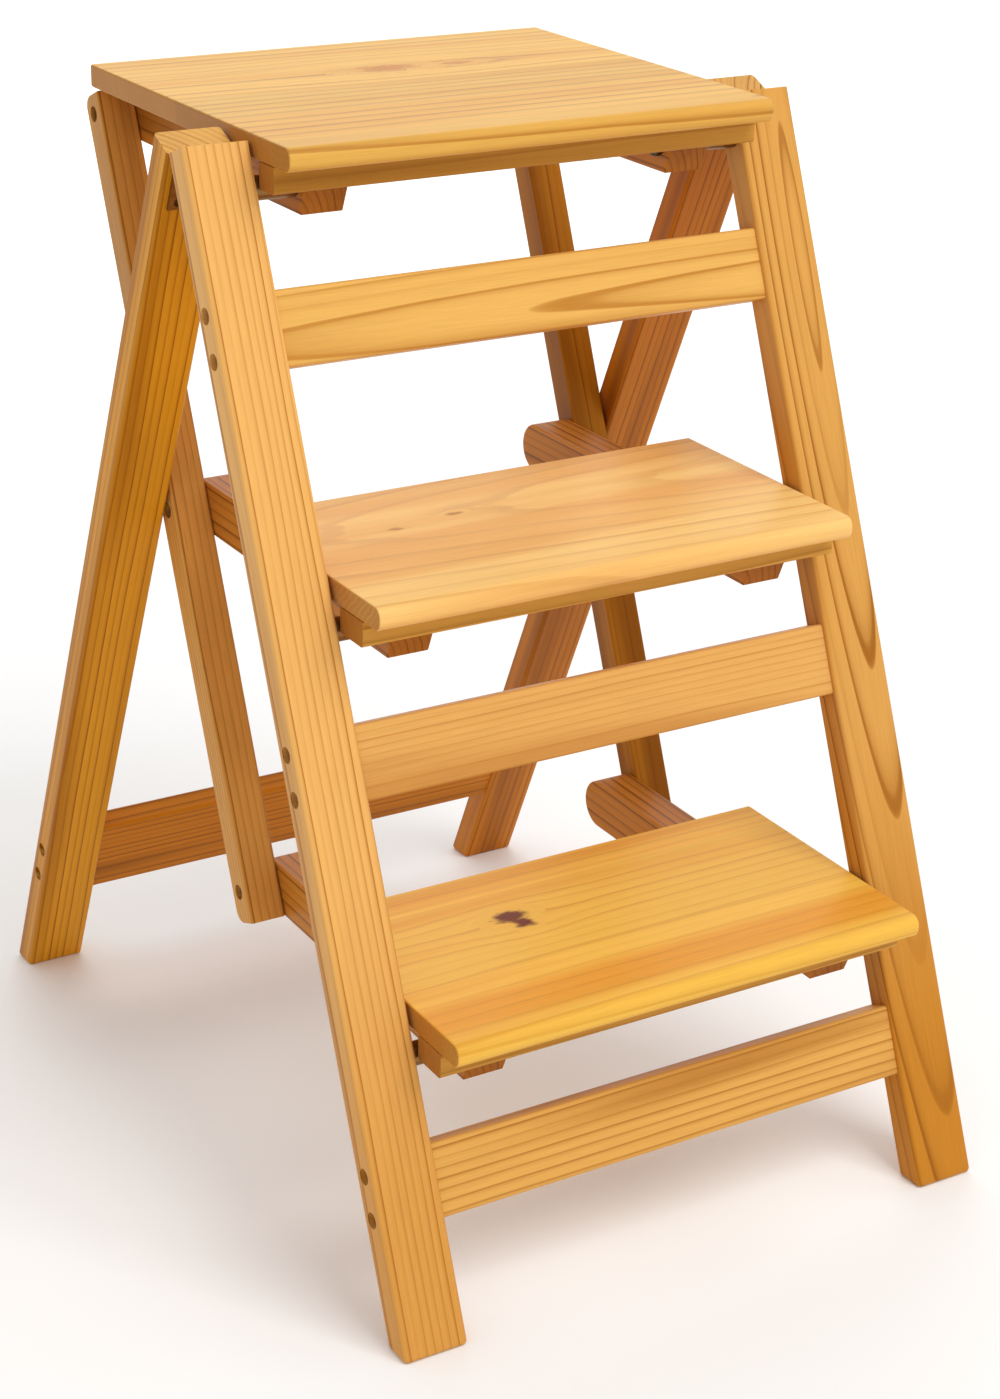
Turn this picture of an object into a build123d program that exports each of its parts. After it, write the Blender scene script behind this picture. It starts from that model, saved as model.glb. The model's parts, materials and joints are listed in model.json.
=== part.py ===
from build123d import *
from math import sin, cos, tan, radians
import os

os.makedirs("parts", exist_ok=True)

# Folding step stool in pine, millimetres, +Z up, front of the stool towards -Y.
# Overall sizes
stool_width = 400.0
leg_width = 40.0
leg_thick = 20.0
front_lean = radians(20.2)
rear_lean = radians(26.2)
valley_height = 628.0
valley_gap = 0.3
leg_round = 2.5
foot_round = 2.5
floor_band = 0.01

# Treads
top_tread_rise = 10.5
bottom_tread_height = 182.5
middle_tread_drop = 2.0
tread_tilt = radians(2.0)
tread_names = ("top", "middle", "bottom")
tread_front = (44.5, 53.0, 52.0)
tread_rear = (226.0, 120.0, 124.0)
board_thick = 14.0
nose_round = 6.0
edge_round = 2.0
end_round = 1.5
tread_side_gap = 2.0
apron_setback = 19.0
apron_gap = 0.5
apron_height = 15.0

# Battens, link bars and their pivots
batten_depth = 32.0
batten_width = 27.0
batten_setback = 31.0
batten_slope_depth = 6.0
batten_slope_height = 14.0
batten_round = 1.2
bar_width = 24.0
bar_thick = 20.0
bar_top = 12.0
bar_bottom = 20.0
bar_round = 8.0
bar_edge_round = 1.5
link_length = 223.0
side_play = 0.3
running = 0.05

# Rails: the upper two by their height over the tread below, the others along the legs from the foot
rail_over_tread = (130.2, 129.1)
lower_rail_centre = 94.5
rail_names = ("upper", "middle", "lower")
rail_height = 43.0
rail_thick = 16.0
rail_setback = 3.0
rail_round = 2.0
rear_rail_centre = 102.5
rear_rail_height = 62.0
rear_rail_thick = 16.0
rear_rail_setback = 2.0

# Hexagon sockets of all screws
socket_depth = 1.8

# Wood screws of the rails
rail_screw_pitch = 25.0
rail_screw_shank = 2.5
rail_screw_head = 4.2
rail_screw_head_height = 3.0
rail_screw_socket = 2.1
rail_screw_bore = 4.8
rail_screw_sink = 8.0
rail_screw_bite = 34.0

# Pivot screws of the treads
pivot_shank = 4.0
pivot_head = 7.0
pivot_head_height = 3.0
pivot_socket = 3.5
pivot_bite = 26.0
spacer_radius = 7.0

# Link screws, and the catch pins of the link bars with their notches in the rear legs
link_shank = 3.0
link_head = 4.2
link_head_height = 3.0
link_socket = 2.1
link_bore = 4.8
link_sink = 6.0
link_bite = 18.0
pin_radius = 3.5
pin_round = 0.6
pin_bite = 16.0
pin_reach = 13.0
pin_over_link = 12.0
notch_depth = 14.5
notch_play = 0.8
notch_angle = radians(54.0)
notch_length = 30.0

# Screws that hold the battens to the treads
batten_screw_shank = 2.0
batten_screw_head = 3.8
batten_screw_head_height = 2.5
batten_screw_socket = 1.9
batten_screw_bore = 4.3
batten_screw_sink = 14.0
batten_screw_bite = 10.0
batten_screw_places = ((40.0, 170.0), (40.0, 100.0), (40.0, 100.0))

# Butt hinges below the valley
hinge_drop = 11.0
hinge_width = 30.0
leaf_thick = 1.6
leaf_length = 27.0
leaf_wrap = 2.0
barrel_radius = 3.5
hinge_pin_radius = 1.8
knuckle_gap = 0.3
hinge_screw_shank = 1.5
hinge_screw_head = 3.0
hinge_screw_head_height = 0.9
hinge_screw_length = 14.0
hinge_screw_places = ((-9.0, 22.0), (9.0, 22.0))

# Derived directions in the side view, given as (y, z)
front_up = (sin(front_lean), cos(front_lean))
front_out = (-cos(front_lean), sin(front_lean))
rear_up = (-sin(rear_lean), cos(rear_lean))
rear_out = (cos(rear_lean), sin(rear_lean))
half_width = stool_width / 2
leg_inner = half_width - leg_width
tread_half = leg_inner - tread_side_gap
bar_outer = tread_half
bar_inner = bar_outer - bar_width
batten_outer = bar_inner - side_play
batten_inner = batten_outer - batten_width
pivot_drop = board_thick + batten_depth / 2

# The origin lies under the middle of the footprint
front_toe = -valley_gap / 2 - valley_height * tan(front_lean) - leg_thick / cos(front_lean)
rear_heel = valley_gap / 2 + valley_height * tan(rear_lean) + leg_thick / cos(rear_lean)
front_trim = foot_round * ((1 + sin(front_lean)) / cos(front_lean) - 1)
rear_trim = foot_round * ((1 + sin(rear_lean)) / cos(rear_lean) - 1)
valley_y = -(front_toe + front_trim + rear_heel - rear_trim) / 2


def step(point, direction, amount):
    return (point[0] + direction[0] * amount, point[1] + direction[1] * amount)


def slab(point, along, across, low, high, near, far):
    a = step(step(point, along, low), across, near)
    b = step(step(point, along, low), across, far)
    c = step(step(point, along, high), across, far)
    d = step(step(point, along, high), across, near)
    return [a, b, c, d]


# Side view points of the legs
front_valley = (valley_y - valley_gap / 2, valley_height)
rear_valley = (valley_y + valley_gap / 2, valley_height)
front_top = step(front_valley, front_out, leg_thick)
rear_top = step(rear_valley, rear_out, leg_thick)
front_foot_back = (front_valley[0] - valley_height * tan(front_lean), 0.0)
front_foot = (front_top[0] - front_top[1] * tan(front_lean), 0.0)
rear_foot_front = (rear_valley[0] + valley_height * tan(rear_lean), 0.0)
rear_foot = (rear_top[0] + rear_top[1] * tan(rear_lean), 0.0)
front_outline = [front_valley, front_top, front_foot, front_foot_back]
rear_outline = [rear_valley, rear_top, rear_foot, rear_foot_front]

# Heights of the treads, evenly spaced, and places of the rails along the front legs
top_tread_height = valley_height + top_tread_rise
middle_tread_height = (top_tread_height + bottom_tread_height) / 2 - middle_tread_drop
tread_tops = (top_tread_height, middle_tread_height, bottom_tread_height)
rail_centres = [(tread_tops[1] + rail_over_tread[0]) / cos(front_lean),
                (tread_tops[2] + rail_over_tread[1]) / cos(front_lean), lower_rail_centre]

# Pivot points of the treads on the front legs and of the links behind
front_axis_y = front_valley[0] - leg_thick / 2 / cos(front_lean)
pivots = []
links = []
tread_along = (cos(tread_tilt), sin(tread_tilt))
tread_up = (-sin(tread_tilt), cos(tread_tilt))
for top in tread_tops:
    height = top - pivot_drop / cos(tread_tilt)
    pivots.append((front_axis_y + (height - valley_height) * tan(front_lean), height))
    links.append(step(pivots[-1], tread_along, link_length))

# Catch pins sit in the link bars, just above their middle pivots
catch_pin = step(links[1], front_up, pin_over_link)

# Screw points of the rails
front_screw_points = []
for centre in rail_centres:
    for offset in (-rail_screw_pitch / 2, rail_screw_pitch / 2):
        spot = step(front_foot, front_up, centre + offset)
        front_screw_points.append(step(spot, front_out, -leg_thick / 2))
rear_screw_points = []
for offset in (-rail_screw_pitch / 2, rail_screw_pitch / 2):
    spot = step(rear_foot_front, rear_up, rear_rail_centre + offset)
    rear_screw_points.append(step(spot, rear_out, leg_thick / 2))

# Hinge axis below the valley, on the bisector of the two legs
hinge_tilt = (rear_lean - front_lean) / 2
hinge_half = (rear_lean + front_lean) / 2
hinge_axis = (valley_y + hinge_drop * sin(hinge_tilt), valley_height - hinge_drop * cos(hinge_tilt))
front_reach = hinge_drop * sin(hinge_half) + valley_gap / 2 * cos(front_lean)
rear_reach = hinge_drop * sin(hinge_half) + valley_gap / 2 * cos(rear_lean)
front_down = (-front_up[0], -front_up[1])
rear_down = (-rear_up[0], -rear_up[1])
front_back = (-front_out[0], -front_out[1])
rear_front = (-rear_out[0], -rear_out[1])
front_leaf_foot = step(hinge_axis, front_out, front_reach)
rear_leaf_foot = step(hinge_axis, rear_out, rear_reach)
hinge_mid = leg_inner + leg_width / 2


def leg_face_planes(side, foot, down, facing, places):
    planes = []
    for across, along in places:
        spot = step(foot, down, along)
        planes.append(Plane(origin=(side * hinge_mid + across, spot[0], spot[1]), x_dir=(1, 0, 0),
                            z_dir=(0, facing[0], facing[1])))
    return planes


# Front legs
for side, word in ((-1, "left"), (1, "right")):
    with BuildPart() as front_leg:
        with BuildSketch(Plane.YZ.offset(side * leg_inner)):
            with BuildLine():
                Polyline(*front_outline, close=True)
            make_face()
        extrude(amount=side * leg_width)
        fillet(front_leg.edges().sort_by(SortBy.LENGTH)[-4:], radius=leg_round)
        fillet(front_leg.edges().filter_by_position(Axis.Z, -floor_band, floor_band), radius=foot_round)
        with BuildSketch(Plane.YZ.offset(side * leg_inner)):
            with Locations(*front_screw_points):
                Circle(rail_screw_shank)
        extrude(amount=side * leg_width, mode=Mode.SUBTRACT)
        with BuildSketch(Plane.YZ.offset(side * half_width)):
            with Locations(*front_screw_points):
                Circle(rail_screw_bore)
        extrude(amount=-side * rail_screw_sink, mode=Mode.SUBTRACT)
        with BuildSketch(Plane.YZ.offset(side * leg_inner)):
            with Locations(*pivots):
                Circle(pivot_shank)
        extrude(amount=side * pivot_bite, mode=Mode.SUBTRACT)
        for face_plane in leg_face_planes(side, front_leaf_foot, front_down, front_back, hinge_screw_places):
            with BuildSketch(face_plane):
                Circle(hinge_screw_shank)
            extrude(amount=-hinge_screw_length, mode=Mode.SUBTRACT)
    front_leg.part.label = "front_leg_" + word
    export_step(front_leg.part, "parts/front_leg_" + word + ".step")

# Rear legs, with the open notches that take the catch pins
for side, word in ((-1, "left"), (1, "right")):
    with BuildPart() as rear_leg:
        with BuildSketch(Plane.YZ.offset(side * leg_inner)):
            with BuildLine():
                Polyline(*rear_outline, close=True)
            make_face()
        extrude(amount=side * leg_width)
        fillet(rear_leg.edges().sort_by(SortBy.LENGTH)[-4:], radius=leg_round)
        fillet(rear_leg.edges().filter_by_position(Axis.Z, -floor_band, floor_band), radius=foot_round)
        with BuildSketch(Plane.YZ.offset(side * leg_inner)):
            with Locations(*rear_screw_points):
                Circle(rail_screw_shank)
        extrude(amount=side * leg_width, mode=Mode.SUBTRACT)
        with BuildSketch(Plane.YZ.offset(side * half_width)):
            with Locations(*rear_screw_points):
                Circle(rail_screw_bore)
        extrude(amount=-side * rail_screw_sink, mode=Mode.SUBTRACT)
        notch_way = (rear_up[0] * cos(notch_angle) + rear_out[0] * sin(notch_angle),
                     rear_up[1] * cos(notch_angle) + rear_out[1] * sin(notch_angle))
        notch_side = (-notch_way[1], notch_way[0])
        notch_half = pin_radius + notch_play
        notch_points = slab(catch_pin, notch_way, notch_side, 0.0, notch_length, -notch_half, notch_half)
        with BuildSketch(Plane.YZ.offset(side * leg_inner)):
            with Locations(catch_pin):
                Circle(notch_half)
            with BuildLine():
                Polyline(*notch_points, close=True)
            make_face()
        extrude(amount=side * notch_depth, mode=Mode.SUBTRACT)
        for face_plane in leg_face_planes(side, rear_leaf_foot, rear_down, rear_front, hinge_screw_places):
            with BuildSketch(face_plane):
                Circle(hinge_screw_shank)
            extrude(amount=-hinge_screw_length, mode=Mode.SUBTRACT)
    rear_leg.part.label = "rear_leg_" + word
    export_step(rear_leg.part, "parts/rear_leg_" + word + ".step")

# Front rails between the front legs
for word, centre in zip(rail_names, rail_centres):
    rail_points = slab(front_foot, front_up, front_out, centre - rail_height / 2, centre + rail_height / 2,
                       -rail_setback, -rail_setback - rail_thick)
    spots = [step(step(front_foot, front_up, centre + offset), front_out, -leg_thick / 2)
             for offset in (-rail_screw_pitch / 2, rail_screw_pitch / 2)]
    with BuildPart() as front_rail:
        with BuildSketch(Plane.YZ.offset(-leg_inner)):
            with BuildLine():
                Polyline(*rail_points, close=True)
            make_face()
        extrude(amount=2 * leg_inner)
        fillet(front_rail.edges().filter_by(Axis.X), radius=rail_round)
        for side in (-1, 1):
            with BuildSketch(Plane.YZ.offset(side * leg_inner)):
                with Locations(*spots):
                    Circle(rail_screw_shank)
            extrude(amount=-side * rail_screw_bite, mode=Mode.SUBTRACT)
    front_rail.part.label = "front_rail_" + word
    export_step(front_rail.part, "parts/front_rail_" + word + ".step")

# Rear rail between the rear legs
rear_rail_points = slab(rear_foot_front, rear_up, rear_out, rear_rail_centre - rear_rail_height / 2,
                        rear_rail_centre + rear_rail_height / 2, rear_rail_setback,
                        rear_rail_setback + rear_rail_thick)
with BuildPart() as rear_rail:
    with BuildSketch(Plane.YZ.offset(-leg_inner)):
        with BuildLine():
            Polyline(*rear_rail_points, close=True)
        make_face()
    extrude(amount=2 * leg_inner)
    fillet(rear_rail.edges().filter_by(Axis.X), radius=rail_round)
    for side in (-1, 1):
        with BuildSketch(Plane.YZ.offset(side * leg_inner)):
            with Locations(*rear_screw_points):
                Circle(rail_screw_shank)
        extrude(amount=-side * rail_screw_bite, mode=Mode.SUBTRACT)
rear_rail.part.label = "rear_rail"
export_step(rear_rail.part, "parts/rear_rail.step")

# Wood screws of the front and rear rails, heads sunk in the legs
for word, points in (("front_rail_screws", front_screw_points), ("rear_rail_screws", rear_screw_points)):
    with BuildPart() as rail_screws:
        for side in (-1, 1):
            seat = half_width - rail_screw_sink
            with BuildSketch(Plane.YZ.offset(side * seat)):
                with Locations(*points):
                    Circle(rail_screw_shank)
            extrude(amount=-side * (seat - leg_inner + rail_screw_bite))
            with BuildSketch(Plane.YZ.offset(side * seat)):
                with Locations(*points):
                    Circle(rail_screw_head)
            extrude(amount=side * rail_screw_head_height)
            with BuildSketch(Plane.YZ.offset(side * (seat + rail_screw_head_height))):
                with Locations(*points):
                    RegularPolygon(rail_screw_socket, 6)
            extrude(amount=-side * socket_depth, mode=Mode.SUBTRACT)
    rail_screws.part.label = word
    export_step(rail_screws.part, "parts/" + word + ".step")

# Heights in a tread's own frame, square to its top and counted from its pivot
board_top = pivot_drop
board_under = board_top - board_thick
batten_floor = board_under - batten_depth
apron_floor = board_under - apron_height
batten_middle = (batten_outer + batten_inner) / 2
pivot_spot = (0.0, 0.0)
link_spot = (link_length, 0.0)

# Treads: board, front apron, two battens and the screws that ride with them
for word, front, rear, pivot, places in zip(tread_names, tread_front, tread_rear, pivots,
                                            batten_screw_places):
    origin = (0, pivot[0], pivot[1])
    side_plane = Plane(origin=origin, x_dir=(0, tread_along[0], tread_along[1]), z_dir=(1, 0, 0))
    top_plane = Plane(origin=origin, x_dir=(1, 0, 0), z_dir=(0, tread_up[0], tread_up[1]))
    apron_front = apron_setback - front
    apron_back = -pivot_head - apron_gap
    batten_front = batten_setback - front
    screw_spots = [(side * batten_middle, place) for side in (-1, 1) for place in places]

    with BuildPart() as board:
        with BuildSketch(side_plane.offset(-tread_half)):
            with BuildLine():
                Polyline((-front, board_under), (-front, board_top), (rear, board_top), (rear, board_under),
                         close=True)
            make_face()
        extrude(amount=2 * tread_half)
        cross_edges = board.edges().filter_by(Axis.X).sort_by(Axis.Y)
        fillet(cross_edges[:2], radius=nose_round)
        fillet(cross_edges[-2:], radius=edge_round)
        fillet(board.faces().filter_by(Axis.X).edges(), radius=end_round)
        with BuildSketch(top_plane.offset(board_under)):
            with Locations(*screw_spots):
                Circle(batten_screw_shank)
        extrude(amount=batten_screw_bite, mode=Mode.SUBTRACT)
    board.part.label = "tread_board_" + word
    export_step(board.part, "parts/tread_board_" + word + ".step")

    with BuildPart() as apron:
        with BuildSketch(side_plane.offset(-tread_half)):
            with BuildLine():
                Polyline((apron_front, board_under), (apron_back, board_under), (apron_back, apron_floor),
                         (apron_front, apron_floor), close=True)
            make_face()
        extrude(amount=2 * tread_half)
        fillet(apron.edges().filter_by(Axis.X).sort_by(Axis.Z)[:2], radius=edge_round)
    apron.part.label = "tread_apron_" + word
    export_step(apron.part, "parts/tread_apron_" + word + ".step")

    for side, hand in ((-1, "left"), (1, "right")):
        own_spots = [(side * batten_middle, place) for place in places]
        with BuildPart() as batten:
            with BuildSketch(side_plane.offset(side * batten_inner)):
                with BuildLine():
                    Polyline((link_length, board_under), (apron_back, board_under), (apron_back, apron_floor),
                             (batten_front, apron_floor), (batten_front, batten_floor + batten_slope_height),
                             (batten_front + batten_slope_depth, batten_floor), (link_length, batten_floor))
                    ThreePointArc((link_length, batten_floor), (link_length + batten_depth / 2, 0.0),
                                  (link_length, board_under))
                make_face()
            extrude(amount=side * batten_width)
            fillet(batten.faces().filter_by(Axis.X).edges(), radius=batten_round)
            with BuildSketch(side_plane.offset(side * batten_inner)):
                with Locations(pivot_spot):
                    Circle(pivot_shank + running)
            extrude(amount=side * batten_width, mode=Mode.SUBTRACT)
            with BuildSketch(side_plane.offset(side * batten_outer)):
                with Locations(link_spot):
                    Circle(link_shank)
            extrude(amount=-side * link_bite, mode=Mode.SUBTRACT)
            with BuildSketch(top_plane.offset(batten_floor)):
                with Locations(*own_spots):
                    Circle(batten_screw_shank)
            extrude(amount=batten_depth, mode=Mode.SUBTRACT)
            with BuildSketch(top_plane.offset(batten_floor)):
                with Locations(*own_spots):
                    Circle(batten_screw_bore)
            extrude(amount=batten_screw_sink, mode=Mode.SUBTRACT)
        batten.part.label = "batten_" + word + "_" + hand
        export_step(batten.part, "parts/batten_" + word + "_" + hand + ".step")

    with BuildPart() as batten_screws:
        seat = batten_floor + batten_screw_sink
        with BuildSketch(top_plane.offset(seat)):
            with Locations(*screw_spots):
                Circle(batten_screw_shank)
        extrude(amount=board_under - seat + batten_screw_bite)
        with BuildSketch(top_plane.offset(seat)):
            with Locations(*screw_spots):
                Circle(batten_screw_head)
        extrude(amount=-batten_screw_head_height)
        with BuildSketch(top_plane.offset(seat - batten_screw_head_height)):
            with Locations(*screw_spots):
                RegularPolygon(batten_screw_socket, 6)
        extrude(amount=socket_depth, mode=Mode.SUBTRACT)
    batten_screws.part.label = "batten_screws_" + word
    export_step(batten_screws.part, "parts/batten_screws_" + word + ".step")

    with BuildPart() as link_screws:
        for side in (-1, 1):
            inner_end = batten_outer - link_bite
            seat = bar_outer - link_sink + running
            with BuildSketch(side_plane.offset(side * inner_end)):
                with Locations(link_spot):
                    Circle(link_shank)
            extrude(amount=side * (seat - inner_end))
            with BuildSketch(side_plane.offset(side * seat)):
                with Locations(link_spot):
                    Circle(link_head)
            extrude(amount=side * link_head_height)
            with BuildSketch(side_plane.offset(side * (seat + link_head_height))):
                with Locations(link_spot):
                    RegularPolygon(link_socket, 6)
            extrude(amount=-side * socket_depth, mode=Mode.SUBTRACT)
    link_screws.part.label = "link_screws_" + word
    export_step(link_screws.part, "parts/link_screws_" + word + ".step")

# Pivot screws of all treads, driven from inside the battens into the front legs
with BuildPart() as pivot_screws:
    for side in (-1, 1):
        head_seat = batten_inner - side_play
        with BuildSketch(Plane.YZ.offset(side * head_seat)):
            with Locations(*pivots):
                Circle(pivot_shank)
        extrude(amount=side * (leg_inner + pivot_bite - head_seat))
        with BuildSketch(Plane.YZ.offset(side * head_seat)):
            with Locations(*pivots):
                Circle(pivot_head)
        extrude(amount=-side * pivot_head_height)
        with BuildSketch(Plane.YZ.offset(side * (head_seat - pivot_head_height))):
            with Locations(*pivots):
                RegularPolygon(pivot_socket, 6)
        extrude(amount=side * socket_depth, mode=Mode.SUBTRACT)
pivot_screws.part.label = "tread_pivot_screws"
export_step(pivot_screws.part, "parts/tread_pivot_screws.step")

# Spacer tubes that keep the battens clear of the legs
with BuildPart() as spacers:
    for side in (-1, 1):
        with BuildSketch(Plane.YZ.offset(side * leg_inner)):
            with Locations(*pivots):
                Circle(spacer_radius)
                Circle(pivot_shank, mode=Mode.SUBTRACT)
        extrude(amount=-side * (leg_inner - batten_outer - side_play))
spacers.part.label = "tread_pivot_spacers"
export_step(spacers.part, "parts/tread_pivot_spacers.step")

# Link bars behind the front legs
for side, word in ((-1, "left"), (1, "right")):
    bar_points = slab(links[0], front_up, front_out, bar_top, -bar_bottom
                      - (links[0][1] - links[2][1]) / cos(front_lean), bar_thick / 2, -bar_thick / 2)
    with BuildPart() as link_bar:
        with BuildSketch(Plane.YZ.offset(side * bar_inner)):
            with BuildLine():
                Polyline(*bar_points, close=True)
            make_face()
        extrude(amount=side * bar_width)
        cross_edges = link_bar.edges().filter_by(Axis.X)
        rearward = Axis((0, 0, 0), (0, -front_out[0], -front_out[1]))
        fillet(cross_edges.group_by(rearward)[-1], radius=bar_round)
        fillet(link_bar.faces().filter_by(Axis.X).edges(), radius=bar_edge_round)
        with BuildSketch(Plane.YZ.offset(side * bar_inner)):
            with Locations(*links):
                Circle(link_shank + running)
        extrude(amount=side * bar_width, mode=Mode.SUBTRACT)
        with BuildSketch(Plane.YZ.offset(side * bar_outer)):
            with Locations(*links):
                Circle(link_bore)
        extrude(amount=-side * link_sink, mode=Mode.SUBTRACT)
        with BuildSketch(Plane.YZ.offset(side * bar_outer)):
            with Locations(catch_pin):
                Circle(pin_radius)
        extrude(amount=-side * pin_bite, mode=Mode.SUBTRACT)
    link_bar.part.label = "link_bar_" + word
    export_step(link_bar.part, "parts/link_bar_" + word + ".step")

# Catch pins, pressed into the link bars and resting in the notches of the rear legs
for side, word in ((-1, "left"), (1, "right")):
    with BuildPart() as catch:
        with BuildSketch(Plane.YZ.offset(side * (bar_outer - pin_bite))):
            with Locations(catch_pin):
                Circle(pin_radius)
        extrude(amount=side * (pin_bite + tread_side_gap + pin_reach))
        fillet(catch.faces().filter_by(Axis.X).edges(), radius=pin_round)
    catch.part.label = "catch_pin_" + word
    export_step(catch.part, "parts/catch_pin_" + word + ".step")

# Butt hinges: leaves with knuckles, pins and screws
knuckle = (hinge_width - 2 * knuckle_gap) / 3
knuckle_starts = (-hinge_width / 2, -knuckle / 2, hinge_width / 2 - knuckle)
for word, foot, down, facing, own in (("front", front_leaf_foot, front_down, front_back, (0, 2)),
                                      ("rear", rear_leaf_foot, rear_down, rear_front, (1,))):
    leaf_points = slab(foot, down, facing, 0.0, leaf_length, 0.0, leaf_thick)
    wrap_points = slab(foot, down, facing, 0.0, barrel_radius + leaf_wrap, 0.0, leaf_thick)
    with BuildPart() as leaves:
        for side in (-1, 1):
            with BuildSketch(Plane.YZ.offset(side * hinge_mid - hinge_width / 2)):
                with BuildLine():
                    Polyline(*leaf_points, close=True)
                make_face()
            extrude(amount=hinge_width)
        for side in (-1, 1):
            with BuildSketch(Plane.YZ.offset(side * hinge_mid - hinge_width / 2)):
                with Locations(hinge_axis):
                    Circle(barrel_radius + knuckle_gap)
            extrude(amount=hinge_width, mode=Mode.SUBTRACT)
        for side in (-1, 1):
            for index in own:
                with BuildSketch(Plane.YZ.offset(side * hinge_mid + knuckle_starts[index])):
                    with Locations(hinge_axis):
                        Circle(barrel_radius)
                    with BuildLine():
                        Polyline(*wrap_points, close=True)
                    make_face()
                extrude(amount=knuckle)
        pin_bore = hinge_pin_radius if word == "front" else hinge_pin_radius + running
        for side in (-1, 1):
            with BuildSketch(Plane.YZ.offset(side * hinge_mid - hinge_width / 2)):
                with Locations(hinge_axis):
                    Circle(pin_bore)
            extrude(amount=hinge_width, mode=Mode.SUBTRACT)
            for face_plane in leg_face_planes(side, foot, down, facing, hinge_screw_places):
                with BuildSketch(face_plane):
                    Circle(hinge_screw_shank)
                extrude(amount=leaf_thick, mode=Mode.SUBTRACT)
                with BuildSketch(face_plane.offset(leaf_thick)):
                    Circle(hinge_screw_head)
                extrude(amount=-hinge_screw_head_height, mode=Mode.SUBTRACT)
    leaves.part.label = "hinge_leaves_" + word
    export_step(leaves.part, "parts/hinge_leaves_" + word + ".step")

    with BuildPart() as hinge_screws:
        for side in (-1, 1):
            for face_plane in leg_face_planes(side, foot, down, facing, hinge_screw_places):
                with BuildSketch(face_plane.offset(leaf_thick - hinge_screw_head_height)):
                    Circle(hinge_screw_shank)
                extrude(amount=-(hinge_screw_length + leaf_thick - hinge_screw_head_height))
                with BuildSketch(face_plane.offset(leaf_thick - hinge_screw_head_height)):
                    Circle(hinge_screw_head)
                extrude(amount=hinge_screw_head_height)
    hinge_screws.part.label = "hinge_screws_" + word
    export_step(hinge_screws.part, "parts/hinge_screws_" + word + ".step")

with BuildPart() as hinge_pins:
    for side in (-1, 1):
        with BuildSketch(Plane.YZ.offset(side * hinge_mid - hinge_width / 2)):
            with Locations(hinge_axis):
                Circle(hinge_pin_radius)
        extrude(amount=hinge_width)
hinge_pins.part.label = "hinge_pins"
export_step(hinge_pins.part, "parts/hinge_pins.step")
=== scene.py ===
# %% [markdown]
# A folding step stool in varnished pine. The CAD model already holds every board, leg, rail and screw in
# its place, so this lesson only dresses it: it gives the wood its rings and varnish, makes the screws,
# and sets up the floor, the light and the camera.

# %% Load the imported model
import json
import math
import bpy
import bmesh
from mathutils import Matrix, Vector

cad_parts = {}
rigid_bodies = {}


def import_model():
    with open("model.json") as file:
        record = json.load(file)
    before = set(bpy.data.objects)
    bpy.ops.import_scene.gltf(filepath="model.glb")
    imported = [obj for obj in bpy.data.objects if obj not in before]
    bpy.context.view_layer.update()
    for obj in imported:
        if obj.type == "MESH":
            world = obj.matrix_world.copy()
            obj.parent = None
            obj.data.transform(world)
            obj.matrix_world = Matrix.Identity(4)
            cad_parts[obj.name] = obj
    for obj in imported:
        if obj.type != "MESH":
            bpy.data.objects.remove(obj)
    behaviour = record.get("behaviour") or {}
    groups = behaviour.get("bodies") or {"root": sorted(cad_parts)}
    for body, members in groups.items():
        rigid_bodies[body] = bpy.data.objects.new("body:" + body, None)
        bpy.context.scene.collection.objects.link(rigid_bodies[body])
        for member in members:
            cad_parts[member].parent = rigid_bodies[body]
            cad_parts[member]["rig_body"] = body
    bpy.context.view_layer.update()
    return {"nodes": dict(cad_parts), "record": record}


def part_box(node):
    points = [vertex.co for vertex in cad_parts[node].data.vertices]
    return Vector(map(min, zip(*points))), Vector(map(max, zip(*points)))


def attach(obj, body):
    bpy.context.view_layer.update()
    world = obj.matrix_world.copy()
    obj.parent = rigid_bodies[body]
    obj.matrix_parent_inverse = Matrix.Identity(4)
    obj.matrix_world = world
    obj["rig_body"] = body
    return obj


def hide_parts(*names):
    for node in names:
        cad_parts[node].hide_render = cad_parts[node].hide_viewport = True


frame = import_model()
nodes = frame["nodes"]
MM = 0.001

# %% [markdown]
# Three small helpers serve every material. Paint charts and photo editors give colours as sRGB hex values,
# while shader sockets take linear light, so one function turns the first into the second, with the numbers
# of the sRGB standard. Another adds a node, sets its properties and fills or links its inputs, and a third
# opens an empty material. Nodes can also be joined by hand in the shader editor, but a list of them in a
# script can be read from top to bottom and run again.

# %% Helpers for colours and nodes
def linear(hex_colour):
    channels = [int(hex_colour[i:i + 2], 16) / 255 for i in (1, 3, 5)]
    return [c / 12.92 if c <= 0.04045 else ((c + 0.055) / 1.055) ** 2.4 for c in channels] + [1.0]


def add(tree, kind, inputs, **settings):
    node = tree.nodes.new(kind)
    for name, value in settings.items():
        setattr(node, name, value)
    for key, value in inputs.items():
        if isinstance(value, bpy.types.Node):
            value = next(socket for socket in value.outputs if socket.enabled)
        if isinstance(value, bpy.types.NodeSocket):
            tree.links.new(value, node.inputs[key])
        else:
            node.inputs[key].default_value = value
    return node


def new_material(name):
    material = bpy.data.materials.new(name)
    material.use_nodes = True
    material.node_tree.nodes.clear()
    return material, material.node_tree


print("honey pine in linear light", [round(c, 3) for c in linear("#edc37e")])

# %% [markdown]
# Sawn wood is a block cut out of a trunk, so its grain is solid: the lines on a face and the arcs on its
# end belong to the same growth rings. A flat picture wrapped round the board would break at each edge.
# Here every piece gets its own three axes, found from the largest of its faces that do not look sideways,
# and the material measures the distance to a pith line that runs along the grain. Where the pith lies
# decides the figure: far off to one side gives straight lines, close below a face gives the pointed
# arches that joiners call cathedrals.

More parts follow.
